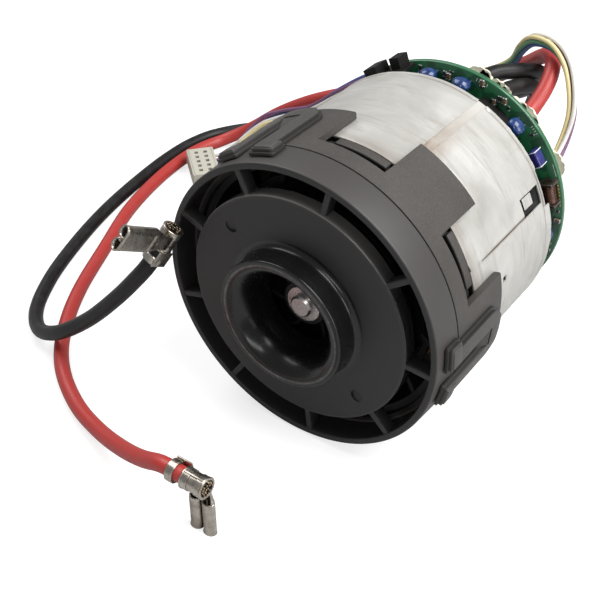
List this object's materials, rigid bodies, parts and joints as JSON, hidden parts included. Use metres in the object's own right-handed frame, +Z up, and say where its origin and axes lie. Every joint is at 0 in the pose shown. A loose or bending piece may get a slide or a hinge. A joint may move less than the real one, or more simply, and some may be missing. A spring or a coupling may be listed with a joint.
{
  "type": "brushless dc motor",
  "caption": "Brushless DC motor with a centrifugal fan head behind a slotted cover, a round control board, power leads with flag terminals and a signal plug.",
  "frame": {"origin": "on the surface the fan ring stands on, below the middle of the box around the rigid pieces", "axes": "+Y along the shaft from the air inlet to the control board, +Z up, +X to the right seen from the inlet side"},
  "size_m": [0.164, 0.17, 0.0833],
  "materials": {
    "dark_plastic": "dark grey moulded plastic, satin and a little scuffed",
    "metal_sheet": "thin sheet, satin, slightly creased",
    "strip": "beige strip, matt",
    "core_steel": "stacked sheet steel, dull",
    "insulator": "cream plastic, matt",
    "copper": "varnished copper wire",
    "bearing_steel": "polished steel",
    "ground_steel": "ground steel, bright",
    "board": "green circuit board, glossy",
    "screw_steel": "plated steel",
    "black_moulding": "black moulding, matt",
    "choke_winding": "brown varnished winding",
    "sealant": "cream-white sealant, soft gloss",
    "capacitor": "blue dipped coating, glossy",
    "impeller_plastic": "dark moulded plastic, satin",
    "magnet": "pressed magnet, dull grey",
    "band": "wound fibre band, satin",
    "balance_brass": "turned brass",
    "red_insulation": "red insulation, soft gloss",
    "black_insulation": "black insulation, soft gloss",
    "tinned_metal": "tinned brass, dull bright",
    "violet_insulation": "violet insulation, satin",
    "plug_plastic": "off-white moulded plastic, satin"
  },
  "bodies": {
    "motor_body": {"fan_cover": "dark_plastic", "fan_bracket": "dark_plastic", "latch_clip_1": "dark_plastic", "latch_clip_2": "dark_plastic", "latch_clip_3": "dark_plastic", "motor_housing": "dark_plastic", "motor_sheet": "metal_sheet", "seam_strip": "strip", "stator_core": "core_steel", "front_insulator": "insulator", "rear_insulator": "insulator", "coil_1": "copper", "coil_2": "copper", "coil_3": "copper", "coil_4": "copper", "coil_5": "copper", "coil_6": "copper", "coil_7": "copper", "coil_8": "copper", "coil_9": "copper", "front_bearing_outer": "bearing_steel", "rear_bearing_outer": "bearing_steel", "circuit_board": "board", "board_screws": "screw_steel", "transistors": "black_moulding", "choke": "choke_winding", "wire_sealant": "sealant", "capacitor_1": "capacitor", "capacitor_2": "capacitor", "capacitor_3": "capacitor", "capacitor_4": "capacitor", "capacitor_5": "capacitor", "red_lead": "red_insulation", "red_terminal": "tinned_metal", "black_lead": "black_insulation", "black_terminal": "tinned_metal", "link_wire": "black_insulation", "signal_wires": "violet_insulation", "signal_plug": "plug_plastic"},
    "rotor": {"shaft": "ground_steel", "impeller": "impeller_plastic", "impeller_shroud": "impeller_plastic", "impeller_bush": "ground_steel", "front_bearing_inner": "bearing_steel", "front_bearing_balls": "bearing_steel", "rear_bearing_inner": "bearing_steel", "rear_bearing_balls": "bearing_steel", "rotor_core": "core_steel", "magnet_1": "magnet", "magnet_2": "magnet", "magnet_3": "magnet", "magnet_4": "magnet", "magnet_band": "band", "balance_ring": "balance_brass"}
  },
  "joints": [
    {"name": "rotor_spin", "type": "hinge", "parent": "motor_body", "child": "rotor", "pos_m": [-0.00085, 0, 0.0404], "axis": [0, 1, 0], "continuous": true}
  ]
}
